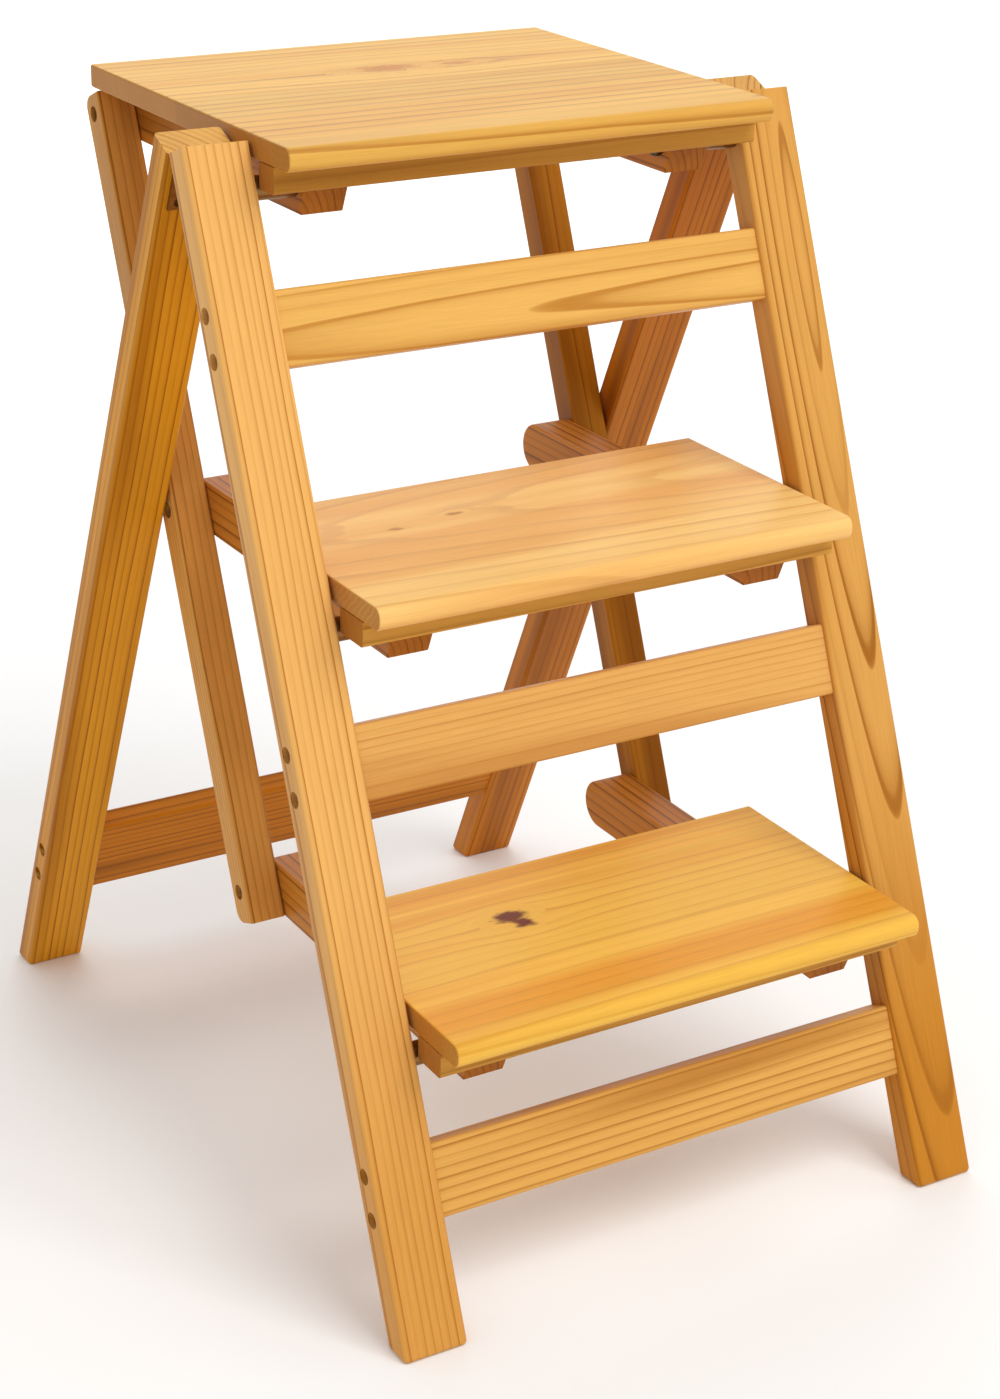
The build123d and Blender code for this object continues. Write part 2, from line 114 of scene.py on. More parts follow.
# %% Find the axes of a wooden piece
ACROSS = Vector((1, 0, 0))
SIDE_FACING = 0.1
FACING_DIGITS = 2


def grain_axes(node, grain_across):
    areas = {}
    for face in nodes[node].data.polygons:
        if abs(face.normal.x) < SIDE_FACING:
            facing = face.normal if face.normal.z > 0 else -face.normal
            key = tuple(round(c, FACING_DIGITS) for c in facing)
            total, way = areas.get(key, (0.0, facing.copy()))
            areas[key] = (total + face.area, way)
    thick = max(areas.values(), key=lambda entry: entry[0])[1]
    thick = Vector((0, thick.y, thick.z)).normalized()
    if grain_across:
        return Matrix((thick.cross(ACROSS), thick, ACROSS))
    return Matrix((ACROSS, thick, ACROSS.cross(thick)))


print("front leg grain", [round(c, 3) for c in grain_axes("front_leg_left", False)[2]])

# %% [markdown]
# A wide tread is glued up from strips, each with its own rings and tone. Sawing the board into several
# meshes would show them too, but the CAD board is one piece and stays whole. So the strips are cut in the
# material: the place across the board, divided by the width of a strip, gives the strip's number, and white
# noise on that number shifts the strip inside the trunk and sets its tone. All sizes in the wood are
# millimetres.

# %% Strips of a glued-up tread
STRIP_SHIFT = (60.0, 20.0, 900.0)
STRIP_TONES = (0.93, 1.05)


def cut_strips(tree, spot, side, strip):
    place = add(tree, "ShaderNodeMath", {0: side, 1: strip}, operation="DIVIDE")
    index = add(tree, "ShaderNodeMath", {0: place}, operation="FLOOR")
    chance = add(tree, "ShaderNodeTexWhiteNoise", {"W": index}, noise_dimensions="1D")
    shift = add(tree, "ShaderNodeVectorMath", {0: chance.outputs["Color"], 1: STRIP_SHIFT},
                operation="MULTIPLY")
    shifted = add(tree, "ShaderNodeVectorMath", {0: spot, 1: shift}, operation="ADD")
    tone = add(tree, "ShaderNodeMapRange", {"Value": chance, "To Min": STRIP_TONES[0],
                                            "To Max": STRIP_TONES[1]})
    return shifted, tone


print("strips differ in tone from", STRIP_TONES[0], "to", STRIP_TONES[1])

# %% [markdown]
# Nothing in a tree is quite straight. Noise drawn out along the grain bends the rings slowly and quickly,
# makes the fibres and spreads the broad warm patches, and a rounder one roughens the knots. One noise could
# serve for all, but on real pine each of these has its own size. Each entry below is the noise's size
# across, through and along the board, and its detail. Real fibres are some hundredths of a millimetre thick,
# too fine to show, so they are drawn just under a millimetre thick.

# %% Noise of the trunk
NOISES = {"slow": ((45.0, 45.0, 320.0), 1.0), "quick": ((10.0, 10.0, 160.0), 2.0),
          "fibre": ((0.9, 0.9, 40.0), 2.0), "patch": ((26.0, 26.0, 520.0), 1.0),
          "burl": ((5.0, 5.0, 9.0), 2.0)}


def grain_noise(tree, grown):
    noise = {}
    for kind, (size, detail) in NOISES.items():
        scaled = add(tree, "ShaderNodeVectorMath", {0: grown, 1: size}, operation="DIVIDE")
        noise[kind] = add(tree, "ShaderNodeTexNoise", {"Vector": scaled, "Scale": 1.0, "Detail": detail})
    return noise


print("fibres", NOISES["fibre"][0][0], "mm thick and", NOISES["fibre"][0][2], "mm long")

# %% [markdown]
# A growth ring is pale spring wood that darkens slowly into a narrow amber line of summer wood and then
# ends sharply, and some years are stronger than others. A Wave texture in rings would draw them all alike.
# Instead, the rings are steps of the distance to the pith, which leans a little against the board. A float
# curve gives the profile of one year, and white noise on the number of the year gives its strength. Noise
# runs from 0 to 1, so twice the waver bends a ring by the waver to both sides.

# %% Growth rings
RING_PROFILE = ((0.5, 0.06), (0.8, 0.5), (0.92, 1.0))
YEAR_END = (1.0, 0.0)
WEAK_YEAR = 0.2


def distance_to_pith(tree, grown, along, noise, ring, lean, waver, ripple):
    trunk = add(tree, "ShaderNodeSeparateXYZ", {0: grown})
    depth = add(tree, "ShaderNodeMath", {0: along, 1: lean, 2: trunk.outputs["Y"]}, operation="MULTIPLY_ADD")
    flat = add(tree, "ShaderNodeCombineXYZ", {0: trunk.outputs["X"], 1: depth})
    reach = add(tree, "ShaderNodeVectorMath", {0: flat}, operation="LENGTH")
    bent = add(tree, "ShaderNodeMath", {0: noise["slow"], 1: 2 * waver, 2: reach}, operation="MULTIPLY_ADD")
    return add(tree, "ShaderNodeMath", {0: noise["quick"], 1: 2 * ripple * abs(ring), 2: bent},
               operation="MULTIPLY_ADD")


def ring_lines(tree, reach, ring, contrast):
    phase = add(tree, "ShaderNodeMath", {0: reach, 1: ring}, operation="DIVIDE")
    share = add(tree, "ShaderNodeMath", {0: phase}, operation="FRACT")
    year = add(tree, "ShaderNodeMath", {0: phase}, operation="FLOOR")
    profile = add(tree, "ShaderNodeFloatCurve", {"Value": share})
    curve = profile.mapping.curves[0]
    for at, height in RING_PROFILE:
        curve.points.new(at, height)
    curve.points[-1].location = YEAR_END
    profile.mapping.update()
    vigour = add(tree, "ShaderNodeTexWhiteNoise", {"W": year}, noise_dimensions="1D")
    strength = add(tree, "ShaderNodeMapRange", {"Value": vigour, "To Min": WEAK_YEAR * contrast,
                                                "To Max": contrast})
    return add(tree, "ShaderNodeMath", {0: profile, 1: strength}, operation="MULTIPLY")


print("summer wood is darkest at", RING_PROFILE[-1][0], "of a ring")

# %% [markdown]
# A knot is the foot of a branch. The rings of the trunk swing round it, it has oval rings of its own, and
# its heart is full of dark resin. A dark spot painted on the board would lack the swing that makes a knot
# look grown. So the distance to the knot, roughened by noise and squeezed along the grain, drives all
# three. The shares below are in radii of the knot.

# %% Knots
KNOT_ROUGH = 1.0
KNOT_SWING = (0.8, 5.0)
KNOT_INSIDE = (1.3, 1.8)
KNOT_HEART = (0.8, 1.35)
KNOT_RINGS = 1.6


def bend_round_knot(tree, offset, along, noise, reach, knot):
    radius = knot["radius"]
    run = add(tree, "ShaderNodeMath", {0: along, 1: knot["length"]}, operation="SUBTRACT")
    run = add(tree, "ShaderNodeMath", {0: run, 1: knot["stretch"]}, operation="DIVIDE")
    oval = add(tree, "ShaderNodeCombineXYZ", {0: offset, 1: run})
    far = add(tree, "ShaderNodeVectorMath", {0: oval}, operation="LENGTH")
    far = add(tree, "ShaderNodeMath", {0: noise["burl"], 1: KNOT_ROUGH * radius, 2: far},
              operation="MULTIPLY_ADD")
    far = add(tree, "ShaderNodeMath", {0: far, 1: radius}, operation="DIVIDE")
    lobe = add(tree, "ShaderNodeMath", {0: offset, 1: radius}, operation="DIVIDE")
    lobe = add(tree, "ShaderNodeMath", {0: lobe}, operation="TANH")
    fade = add(tree, "ShaderNodeMapRange", {"Value": far, "From Min": KNOT_SWING[0],
                                            "From Max": KNOT_SWING[1], "To Min": knot["push"],
                                            "To Max": 0.0}, interpolation_type="SMOOTHSTEP")
    swing = add(tree, "ShaderNodeMath", {0: lobe, 1: fade}, operation="MULTIPLY")
    reach = add(tree, "ShaderNodeMath", {0: reach, 1: swing}, operation="SUBTRACT")
    inside = add(tree, "ShaderNodeMapRange", {"Value": far, "From Min": KNOT_INSIDE[0],
                                              "From Max": KNOT_INSIDE[1], "To Min": 1.0, "To Max": 0.0},
                 interpolation_type="SMOOTHSTEP")
    ovals = add(tree, "ShaderNodeMath", {0: far, 1: KNOT_RINGS * radius}, operation="MULTIPLY")
    reach = add(tree, "ShaderNodeMix", {"Factor": inside, "A": reach, "B": ovals})
    heart = add(tree, "ShaderNodeMapRange", {"Value": far, "From Min": KNOT_HEART[0],
                                             "From Max": KNOT_HEART[1], "To Min": knot["fill"],
                                             "To Max": 0.0}, interpolation_type="SMOOTHSTEP")
    return reach, heart


print("rings swing up to", KNOT_SWING[1], "radii from a knot")

# %% [markdown]
# The ends of a board drink more varnish than its faces and take a colour of their own. They also show the
# rings at their true width, which the faces stretch because they cut them at a slant. A second material on
# the end faces would leave a hard line at each rounded edge. The angle between the surface and the grain
# gives the share of end grain instead, so that it turns with the edge. On the legs the end colour is paler:
# painted light for the light that falls on their tops from above.

# %% End grain
END_FACING = (0.5, 0.9)
END_COVER = 0.8
END_RING = 4.2
END_CONTRAST = 1.0


def end_share(tree, normal, grain):
    facing = add(tree, "ShaderNodeVectorMath", {0: normal, 1: grain}, operation="DOT_PRODUCT")
    facing = add(tree, "ShaderNodeMath", {0: facing}, operation="ABSOLUTE")
    return add(tree, "ShaderNodeMapRange", {"Value": facing, "From Min": END_FACING[0],
                                            "From Max": END_FACING[1], "To Max": END_COVER},
               interpolation_type="SMOOTHSTEP")


print("rings on the ends are", END_RING, "mm wide")

# %% [markdown]
# Pine is never one even colour. Broad patches are warmer than the rest, and a streak of warm wood can run
# along a board where the heartwood begins. The front legs also darken towards their feet, which is painted
# shade for
# the weaker light near the floor. A painter would glaze these over the wood, and the material does the same:
# each function gives the share of a second colour.

# %% Warm patches, streaks and painted shade at the feet
PATCH_RANGE = (0.45, 0.7)
PATCH_STRENGTH = 0.7
STREAK_EDGE = (0.5, 1.5)
FOOT_PAINTED_SHADE_RISE = (40.0, 290.0)


def warm_share(tree, noise, side, pith_side, streak):
    warm = add(tree, "ShaderNodeMapRange", {"Value": noise["patch"], "From Min": PATCH_RANGE[0],
                                            "From Max": PATCH_RANGE[1], "To Max": PATCH_STRENGTH},
               interpolation_type="SMOOTHSTEP")
    if not streak:
        return warm
    half_width = streak["half_width"]
    away = add(tree, "ShaderNodeMath", {0: side, 1: pith_side + streak["side"]}, operation="SUBTRACT")
    away = add(tree, "ShaderNodeMath", {0: away}, operation="ABSOLUTE")
    band = add(tree, "ShaderNodeMapRange", {"Value": away, "From Min": STREAK_EDGE[0] * half_width,
                                            "From Max": STREAK_EDGE[1] * half_width,
                                            "To Min": PATCH_STRENGTH, "To Max": 0.0},
               interpolation_type="SMOOTHSTEP")
    return add(tree, "ShaderNodeMath", {0: warm, 1: band}, operation="MAXIMUM")


# Painted shade: the share of a darker colour that grows along a leg towards its foot, for the weaker light
# near the floor.
def foot_painted_shade_share(tree, along):
    return add(tree, "ShaderNodeMapRange", {"Value": along, "From Min": FOOT_PAINTED_SHADE_RISE[0],
                                            "From Max": FOOT_PAINTED_SHADE_RISE[1]}, interpolation_type="SMOOTHSTEP")


print("legs darken from", FOOT_PAINTED_SHADE_RISE[0], "to", FOOT_PAINTED_SHADE_RISE[1], "mm below their middle")

# %% [markdown]
# Fine fibres run through every piece and lighten or darken it a little, and the strongest of them are short
# dashes of resin. Both come from the fibre noise, so a dash always lies in a fibre. In a tread, the tone of
# the strip joins them here.

# %% Fibres and resin dashes
FIBRE_RANGE = (0.3, 0.7)
FIBRE_TONES = (0.93, 1.05)
DASH_RANGE = (0.6, 0.72)


def fibre_shade(tree, noise, dashes, strip_tone):
    light = add(tree, "ShaderNodeMapRange", {"Value": noise["fibre"], "From Min": FIBRE_RANGE[0],
                                             "From Max": FIBRE_RANGE[1], "To Min": FIBRE_TONES[0],
                                             "To Max": FIBRE_TONES[1]})
    dash = add(tree, "ShaderNodeMapRange", {"Value": noise["fibre"], "From Min": DASH_RANGE[0],
                                            "From Max": DASH_RANGE[1], "To Max": dashes},
               interpolation_type="SMOOTHSTEP")
    shade = add(tree, "ShaderNodeMath", {0: light, 1: dash}, operation="SUBTRACT")
    if strip_tone is None:
        return shade
    return add(tree, "ShaderNodeMath", {0: shade, 1: strip_tone}, operation="MULTIPLY")


print("fibres change the tone from", FIBRE_TONES[0], "to", FIBRE_TONES[1])

# %% [markdown]
# Satin varnish is a thin amber film with a soft shine. It evens the wood without hiding the summer wood,
# which stands a little proud and shines a little more. A full clear coat would look wet, so most of the
# shine is the wood's own, tinted amber, under a faint coat. Without the tint, the white surroundings would
# lay a pale veil over the wood.

# %% Satin varnish
RELIEF = (0.2, 1.5)
GLOSS = (0.5, 0.36)
RELIEF_STRENGTH = 0.15
FIBRE_DEPTH = 0.3 * MM
VARNISH = "#ecb866"
VARNISH_SHINE = 0.22
COAT_WEIGHT = 0.06
COAT_ROUGHNESS = 0.25


def varnish(tree, wood, noise, line):
    relief = add(tree, "ShaderNodeMath", {0: noise["fibre"], 1: line}, operation="ADD")
    bump = add(tree, "ShaderNodeBump", {"Height": relief, "Strength": RELIEF_STRENGTH,
                                        "Distance": FIBRE_DEPTH})
    gloss = add(tree, "ShaderNodeMapRange", {"Value": relief, "From Min": RELIEF[0], "From Max": RELIEF[1],
                                             "To Min": GLOSS[0], "To Max": GLOSS[1]})
    shader = add(tree, "ShaderNodeBsdfPrincipled", {"Base Color": wood, "Roughness": gloss, "Normal": bump,
                                                    "Specular IOR Level": VARNISH_SHINE,
                                                    "Specular Tint": linear(VARNISH),
                                                    "Coat Weight": COAT_WEIGHT,
                                                    "Coat Roughness": COAT_ROUGHNESS})
    add(tree, "ShaderNodeOutputMaterial", {"Surface": shader})


print("varnish in linear light", [round(c, 3) for c in linear(VARNISH)])

# %% [markdown]
# Planed pine under satin varnish, put together: pale wood with amber lines and fine fibres. A Mapping node
# turns each piece so that Z runs along the grain, and lays the pieces one after another along an endless
# trunk, so that no two share their noise. The colours are then laid over the spring wood one by one, as
# glazes. One material for all pieces would be shorter, but each piece was cut from another board, and some
# pieces carry painted shade and painted light in their colours.

# %% The pine material
BOARD_STEP = 1000.0


def pine(name, axes, centre, pith, ring, early, late, lean=0.0, waver=3.0, ripple=0.15, contrast=1.0,
         strip=0.0, glow=None, streak=None, foot_painted_shade=None, dashes=0.12, knots=(), end="#a96a2f", number=0):
    material, tree = new_material(name)
    start = Vector((pith[0], pith[1], number * BOARD_STEP))
    coords = add(tree, "ShaderNodeTexCoord", {})
    spot = add(tree, "ShaderNodeMapping", {"Vector": coords.outputs["Object"], "Scale": [1 / MM] * 3,
                                           "Rotation": axes.to_euler(),
                                           "Location": start - axes @ (centre / MM)})
    here = add(tree, "ShaderNodeSeparateXYZ", {0: spot}).outputs
    along = add(tree, "ShaderNodeMath", {0: here["Z"], 1: start.z}, operation="SUBTRACT")
    grown, strip_tone = cut_strips(tree, spot, here["X"], strip) if strip else (spot, None)
    noise = grain_noise(tree, grown)

    # Rings on the faces and the ends, bent round the knots
    reach = distance_to_pith(tree, grown, along, noise, ring, lean, waver, ripple)
    hearts = []
    for knot in knots:
        offset = add(tree, "ShaderNodeMath", {0: here["X"], 1: pith[0] + knot["side"]}, operation="SUBTRACT")
        reach, heart = bend_round_knot(tree, offset, along, noise, reach, knot)
        hearts.append((heart, knot["resin"]))
    end_grain_share = end_share(tree, coords.outputs["Normal"], axes[2])
    face_line = ring_lines(tree, reach, ring, contrast)
    end_line = ring_lines(tree, reach, math.copysign(END_RING, ring), END_CONTRAST)
    line = add(tree, "ShaderNodeMix", {"Factor": end_grain_share, "A": face_line, "B": end_line})

    # Colours, one over another, from the spring wood up
    layers = [(warm_share(tree, noise, here["X"], pith[0], streak), glow or late)]
    # The foot colour is painted shade, darker towards the floor.
    if foot_painted_shade:
        layers.append((foot_painted_shade_share(tree, along), foot_painted_shade))
    # The end colour is soaked end grain on most pieces and painted light on the tops of the legs.
    layers += [(end_grain_share, end), (line, late)] + hearts
    wood = linear(early)
    for share, colour in layers:
        wood = add(tree, "ShaderNodeMix", {"Factor": share, "A": wood, "B": linear(colour)},
                   data_type="RGBA")
    shade = fibre_shade(tree, noise, dashes, strip_tone)
    wood = add(tree, "ShaderNodeVectorMath", {0: wood, "Scale": shade}, operation="SCALE")
    varnish(tree, wood, noise, line)
    return material


print("pieces lie", BOARD_STEP, "mm apart along the trunk")

# %% [markdown]
# Knots show in every tread: a pale one at the top, a pair of small ones in the middle and a dark one at
# the bottom. They could be scattered at random, but these are the marks by which the stool is known, so
# each is given one by one as one or two ovals. Side and length are measured from the middle of the board,
# stretch is along the grain, push is how far the rings swing, and fill is how much resin the heart holds.

# %% Knots of the treads
DARK_RESIN = "#6a270b"
AMBER_RESIN = "#ba7024"
BROWN_RESIN = "#a8682c"
TOP_KNOTS = (
    dict(side=47.0, length=-2.0, radius=15.0, stretch=2.1, push=10.0, fill=0.75, resin=AMBER_RESIN),
    dict(side=44.0, length=46.0, radius=7.0, stretch=3.0, push=7.0, fill=0.6, resin=AMBER_RESIN))
MIDDLE_KNOTS = (
    dict(side=21.0, length=-89.0, radius=4.0, stretch=2.0, push=3.0, fill=0.6, resin=BROWN_RESIN),
    dict(side=29.0, length=-46.0, radius=4.5, stretch=2.2, push=4.0, fill=0.7, resin=BROWN_RESIN))
BOTTOM_KNOTS = (
    dict(side=30.0, length=-56.0, radius=10.0, stretch=1.8, push=5.0, fill=1.0, resin=DARK_RESIN),
    dict(side=19.0, length=-52.0, radius=8.0, stretch=1.3, push=4.0, fill=1.0, resin=DARK_RESIN))
print("ovals of knots", len(TOP_KNOTS + MIDDLE_KNOTS + BOTTOM_KNOTS))

# %% [markdown]
# Each piece of the stool was sawn from another board, so each gets its own pith, ring width and colours:
# straight lines on the left front leg, arches that point down on the right one, calm wide rings on the
# treads, and a dense brown bar on the left. The pith is given by where the middle of the piece lies from
# it, sideways and through the board. A negative ring width turns the sharp side of each line round, as when
# the board is cut from the other half of the trunk.

# %% Boards for the pieces
# Painted light: the tops of the legs face up into the light, so their end colour is paler than the end grain
# of the other pieces.
LEG_END_PAINTED_LIGHT = "#d9a75a"
LOOKS = {
    # The foot colours of the front legs are painted shade: the legs grow darker towards the floor.
    "front_leg_left": dict(end=LEG_END_PAINTED_LIGHT, pith=(95, 30), ring=4.6, early="#e8af62", late="#ab6820",
                           foot_painted_shade="#d79848"),
    "front_leg_right": dict(end=LEG_END_PAINTED_LIGHT, pith=(-9, -26), ring=6.5, early="#d59b4d", late="#9a5a14",
                            lean=-0.07, waver=1.0, ripple=0.04, glow="#c57f26", foot_painted_shade="#c37e26"),
    # The rear legs, the rear rail and the right link bar have darker colours than their wood alone: partly
    # painted shade, for the shade behind the front legs and under the treads.
    "rear_leg_left": dict(end=LEG_END_PAINTED_LIGHT, pith=(60, 50), ring=4.4, early="#e09a20", late="#a05b08"),
    "rear_leg_right": dict(end=LEG_END_PAINTED_LIGHT, pith=(-70, 40), ring=4.8, early="#c4751a", late="#864708"),
    "front_rail_upper": dict(pith=(9, -24), ring=6.0, early="#e3ae5b", late="#b97a2e", lean=0.03, waver=1.6,
                             ripple=0.05),
    "front_rail_middle": dict(pith=(80, 30), ring=4.0, early="#dfa75c", late="#bd7e3a", contrast=0.8),
    "front_rail_lower": dict(pith=(60, -20), ring=6.0, early="#dfa654", late="#a96a22"),
    # Darker colours: partly painted shade, as on the rear legs.
    "rear_rail": dict(pith=(70, 26), ring=5.0, early="#cb7a16", late="#844805"),
    "link_bar_left": dict(pith=(50, 60), ring=3.2, early="#d6984a", late="#915a1e", dashes=0.35),
    # Darker colours: partly painted shade, as on the rear legs.
    "link_bar_right": dict(pith=(-60, 40), ring=4.0, early="#b07018", late="#804608"),
    "tread_board_top": dict(pith=(114, -44), ring=11.0, early="#e4b257", late="#ad6c22", lean=0.02,
                            strip=62.0, contrast=0.85, glow="#dba047", knots=TOP_KNOTS),
    "tread_board_middle": dict(pith=(-25, -48), ring=-13.0, early="#f6ca7c", late="#d49852", lean=0.12,
                               contrast=0.7, waver=7.0, glow="#e7a65a", knots=MIDDLE_KNOTS),
    "tread_board_bottom": dict(pith=(100, -50), ring=9.0, early="#edb84c", late="#c98420", lean=0.02,
                               strip=80.0, contrast=0.6, glow="#de8c26", knots=BOTTOM_KNOTS,
                               streak=dict(side=-58.0, half_width=16.0)),
}
# The aprons and battens sit under the treads, and their darker colours are partly painted shade.
APRON_LOOK_PAINTED_SHADE = dict(pith=(60, -25), ring=5.0, early="#cf9640", late="#9a601a")
BATTEN_LOOK_PAINTED_SHADE = dict(pith=(50, 35), ring=4.6, early="#c57c2b", late="#6e380a", end="#a05c22")
print("pieces with a board of their own", len(LOOKS))

# %% [markdown]
# Rails, boards and aprons have their grain across the stool, and all other pieces along their own length.
# The record of the model says which nodes are wood. Each gets one pine material, centred on its middle.

# %% Dress the wood
GRAIN_ACROSS = ("front_rail", "rear_rail", "tread_board", "tread_apron")


def middle(node):
    low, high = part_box(node)
    return (low + high) / 2


slots = {part["node"]: part["material_slot"] for part in frame["record"]["subparts"]}
wooden = sorted(node for node, slot in slots.items() if slot == "pine")
for number, node in enumerate(wooden):
    kind_look = APRON_LOOK_PAINTED_SHADE if node.startswith("tread_apron") else BATTEN_LOOK_PAINTED_SHADE
    axes = grain_axes(node, node.startswith(GRAIN_ACROSS))
    look = LOOKS.get(node, kind_look)
    material = pine("varnished_pine_" + node, axes, middle(node), number=number, **look)
    nodes[node].data.materials.clear()
    nodes[node].data.materials.append(material)
print("wooden pieces dressed", len(wooden))

# %% [markdown]
# Bronze-plated steel: a brown metal whose plating is cloudy and a little rubbed. One flat colour would look
# like plastic, so noise of a few millimetres drives both its colour and its gloss. The screws keep their
# dark plating. The hinges, tubes and pins sit in shade between the legs, aprons and battens, so theirs is a
# lighter bronze: painted light that keeps them from going black there.

# %% The steel material
CLOUD = 4.0 * MM
CLOUD_DETAIL = 3.0
CLOUD_GLOSS = (0.3, 0.52)


def bronze(name, deep, pale_tone):
    material, tree = new_material(name)
    coords = add(tree, "ShaderNodeTexCoord", {})
    cloud = add(tree, "ShaderNodeTexNoise", {"Vector": coords.outputs["Object"], "Scale": 1 / CLOUD,
                                             "Detail": CLOUD_DETAIL})
    tint = add(tree, "ShaderNodeMix", {"Factor": cloud, "A": linear(deep), "B": linear(pale_tone)},
               data_type="RGBA")
    gloss = add(tree, "ShaderNodeMapRange", {"Value": cloud, "To Min": CLOUD_GLOSS[0],
                                             "To Max": CLOUD_GLOSS[1]})
    shader = add(tree, "ShaderNodeBsdfPrincipled", {"Base Color": tint, "Roughness": gloss, "Metallic": 1.0})
    add(tree, "ShaderNodeOutputMaterial", {"Surface": shader})
    return material


dark_bronze = bronze("bronze_plated_steel", "#33271a", "#5c4830")
# A lighter bronze for the hinges, tubes and pins: painted light against the shade that they sit in.
bronze_with_painted_light = bronze("bronze_plated_steel_with_painted_light", "#75552f", "#a27c4c")
metal = sorted(node for node, slot in slots.items() if slot == "bronzed_steel")
for node in metal:
    nodes[node].data.materials.clear()
    nodes[node].data.materials.append(dark_bronze if "screws" in node else bronze_with_painted_light)
print("steel pieces dressed", len(metal))

# %% [markdown]
# The screws repeat dozens of times. One could be modelled by hand and copied, but a Geometry Nodes tree
# takes other sizes without new work. Its head is a short cylinder whose top is drawn in to a rim. A
# six-sided prism, centred on the top and twice as deep as the socket, cuts the socket out of it. The shank
# is a plain cylinder below the head.

# %% Head and shank of a socket screw
HEAD_SIDES = 32
SHANK_SIDES = 16
SOCKET_SIDES = 6


def screw_head(tree, size):
    straight = add(tree, "ShaderNodeMath", {0: size["Head Height"], 1: size["Rim"]}, operation="SUBTRACT")
    disc = add(tree, "GeometryNodeMeshCylinder", {"Vertices": HEAD_SIDES, "Radius": size["Head Radius"],
                                                  "Depth": straight})
    raised = add(tree, "GeometryNodeExtrudeMesh", {"Mesh": disc, "Selection": disc.outputs["Top"],
                                                   "Offset Scale": size["Rim"], "Individual": False})
    rim_share = add(tree, "ShaderNodeMath", {0: size["Rim"], 1: size["Head Radius"]}, operation="DIVIDE")
    drawn_in = add(tree, "ShaderNodeMath", {0: 1.0, 1: rim_share}, operation="SUBTRACT")
    capped = add(tree, "GeometryNodeScaleElements", {"Geometry": raised, "Selection": raised.outputs["Top"],
                                                     "Scale": drawn_in})
    half = add(tree, "ShaderNodeMath", {0: straight, 1: 2.0}, operation="DIVIDE")
    lift = add(tree, "ShaderNodeCombineXYZ", {2: half})
    head = add(tree, "GeometryNodeTransform", {"Geometry": capped, "Translation": lift})
    deep = add(tree, "ShaderNodeMath", {0: size["Socket Depth"], 1: 2.0}, operation="MULTIPLY")
    prism = add(tree, "GeometryNodeMeshCylinder", {"Vertices": SOCKET_SIDES, "Radius": size["Socket Radius"],
                                                   "Depth": deep})
    lift = add(tree, "ShaderNodeCombineXYZ", {2: size["Head Height"]})
    prism = add(tree, "GeometryNodeTransform", {"Geometry": prism, "Translation": lift})
    return add(tree, "GeometryNodeMeshBoolean", {0: head, 1: prism}, operation="DIFFERENCE", solver="EXACT")


def screw_shank(tree, size):
    shank = add(tree, "GeometryNodeMeshCylinder", {"Vertices": SHANK_SIDES, "Radius": size["Shank Radius"],
                                                   "Depth": size["Shank Length"]})
    half = add(tree, "ShaderNodeMath", {0: size["Shank Length"], 1: -2.0}, operation="DIVIDE")
    lift = add(tree, "ShaderNodeCombineXYZ", {2: half})
    return add(tree, "GeometryNodeTransform", {"Geometry": shank, "Translation": lift})


print("heads have", HEAD_SIDES, "sides, shanks", SHANK_SIDES, "and sockets", SOCKET_SIDES)

# %% [markdown]
# The tree joins head and shank and puts a copy on every point. Each point carries the direction that its
# head faces as an attribute, which turns the copy. A hand that drives screws leaves every socket turned
# differently, so a random spin with a fixed seed does the same.

# %% A tree that places socket screws
SCREW_INPUTS = ("Head Radius", "Head Height", "Rim", "Socket Radius", "Socket Depth", "Shank Radius",
                "Shank Length")
SOCKET_SEED = 7


def screw_tree():
    tree = bpy.data.node_groups.new("socket_screws", "GeometryNodeTree")
    tree.interface.new_socket("Points", in_out="INPUT", socket_type="NodeSocketGeometry")
    for name in SCREW_INPUTS:
        tree.interface.new_socket(name, in_out="INPUT", socket_type="NodeSocketFloat")
    tree.interface.new_socket("Finish", in_out="INPUT", socket_type="NodeSocketMaterial")
    tree.interface.new_socket("Screws", in_out="OUTPUT", socket_type="NodeSocketGeometry")
    size = add(tree, "NodeGroupInput", {}).outputs
    screw = add(tree, "GeometryNodeJoinGeometry", {0: screw_head(tree, size)})
    tree.links.new(screw_shank(tree, size).outputs[0], screw.inputs[0])
    drive = add(tree, "GeometryNodeInputNamedAttribute", {"Name": "drive"}, data_type="FLOAT_VECTOR")
    aimed = add(tree, "FunctionNodeAlignRotationToVector", {"Vector": drive}, axis="Z")
    spin = add(tree, "FunctionNodeRandomValue", {"Max": math.tau / SOCKET_SIDES, "Seed": SOCKET_SEED},
               data_type="FLOAT")
    turned = add(tree, "FunctionNodeAxisAngleToRotation", {"Angle": spin})
    aimed = add(tree, "FunctionNodeRotateRotation", {0: aimed, 1: turned}, rotation_space="LOCAL")
    copies = add(tree, "GeometryNodeInstanceOnPoints", {"Points": size["Points"], "Instance": screw,
                                                        "Rotation": aimed})
    solid = add(tree, "GeometryNodeRealizeInstances", {0: copies})
    finished = add(tree, "GeometryNodeSetMaterial", {"Geometry": solid, "Material": size["Finish"]})
    add(tree, "NodeGroupOutput", {0: finished})
    return tree


screws = screw_tree()
socket_ids = {item.name: item.identifier for item in screws.interface.items_tree if item.in_out == "INPUT"}
print("tree", screws.name, "with", len(screws.nodes), "nodes")

# %% [markdown]
# The screws must stay where they hold, so their sizes and places are measured on the CAD screws instead of
# typed again. A set of screws is one mesh, so its loose groups of vertices are sorted out first. Along a
# screw's axis, the end with the widest ring of vertices is the head, and the other end is the tip.

